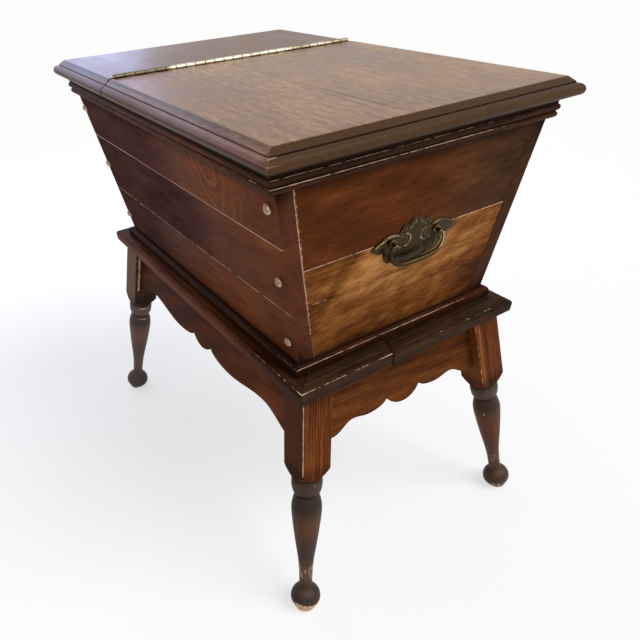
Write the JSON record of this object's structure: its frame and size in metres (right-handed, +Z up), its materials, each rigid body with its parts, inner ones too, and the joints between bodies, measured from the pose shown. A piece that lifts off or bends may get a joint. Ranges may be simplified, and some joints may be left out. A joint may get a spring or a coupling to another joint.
{
  "type": "dough box table",
  "caption": "Small table with a slant-sided storage box under a hinged lid, on a stand with scalloped aprons and splayed turned legs, and a brass bail pull on the front.",
  "frame": {"origin": "on the floor under the middle of the table", "axes": "+X to the right along the front with the pull, +Y to the back, +Z up"},
  "size_m": [0.3756, 0.5806, 0.5641],
  "materials": {
    "dark_top": "worn brown stain under satin varnish",
    "dark_edge": "very dark brown stain, rubbed through on the arrises",
    "red_brown": "dark red-brown stain, satin",
    "gold_brown": "rubbed golden brown stain, satin",
    "striped_block": "brown stain with strong straight grain",
    "peg_tan": "bare rubbed wood",
    "inside_pine": "unstained softwood",
    "bright_brass": "rolled brass, tarnished in patches",
    "old_brass": "antique brass, dark in the hollows"
  },
  "bodies": {
    "table": {"rear_top_board": "dark_top", "hinge_rear_leaf": "bright_brass", "hinge_pin": "bright_brass", "left_board_lower": "red_brown", "left_board_middle": "red_brown", "left_board_upper": "red_brown", "right_board_lower": "red_brown", "right_board_middle": "red_brown", "right_board_upper": "red_brown", "front_board_lower": "gold_brown", "front_board_middle": "gold_brown", "front_board_upper": "red_brown", "back_board_lower": "red_brown", "back_board_middle": "red_brown", "back_board_upper": "red_brown", "box_floor": "inside_pine", "peg_left_front_lower": "peg_tan", "peg_left_front_middle": "peg_tan", "peg_left_front_upper": "peg_tan", "peg_left_back_lower": "peg_tan", "peg_left_back_middle": "peg_tan", "peg_left_back_upper": "peg_tan", "peg_right_front_lower": "peg_tan", "peg_right_front_middle": "peg_tan", "peg_right_front_upper": "peg_tan", "peg_right_back_lower": "peg_tan", "peg_right_back_middle": "peg_tan", "peg_right_back_upper": "peg_tan", "rim_moulding_front": "dark_edge", "rim_moulding_back": "dark_edge", "rim_moulding_left": "dark_edge", "rim_moulding_right": "dark_edge", "shoe_moulding_front": "dark_edge", "shoe_moulding_back": "dark_edge", "shoe_moulding_left": "dark_edge", "shoe_moulding_right": "dark_edge", "stand_rail_front_left": "dark_edge", "stand_rail_front_right": "dark_edge", "stand_rail_back": "dark_edge", "stand_rail_left": "dark_edge", "stand_rail_right": "dark_edge", "apron_front": "gold_brown", "apron_back": "red_brown", "apron_left": "red_brown", "apron_right": "red_brown", "leg_front_left": "striped_block", "leg_front_right": "striped_block", "leg_back_left": "striped_block", "leg_back_right": "striped_block", "pull_plate": "old_brass", "pull_post_left": "old_brass", "pull_post_right": "old_brass", "pull_nut_left": "old_brass", "pull_nut_right": "old_brass"},
    "lid": {"lid_board_left": "dark_top", "lid_board_right": "dark_top", "hinge_lid_leaf": "bright_brass"},
    "bail": {"pull_bail": "old_brass"}
  },
  "joints": [
    {"name": "lid_hinge", "type": "hinge", "parent": "table", "child": "lid", "pos_m": [0, 0.0845, 0.561], "axis": [-1, 0, 0], "range_deg": [0, 180]},
    {"name": "bail_swing", "type": "hinge", "parent": "table", "child": "bail", "pos_m": [0.002, -0.24631, 0.4286], "axis": [-1, 0, 0], "range_deg": [-10, 150]}
  ]
}
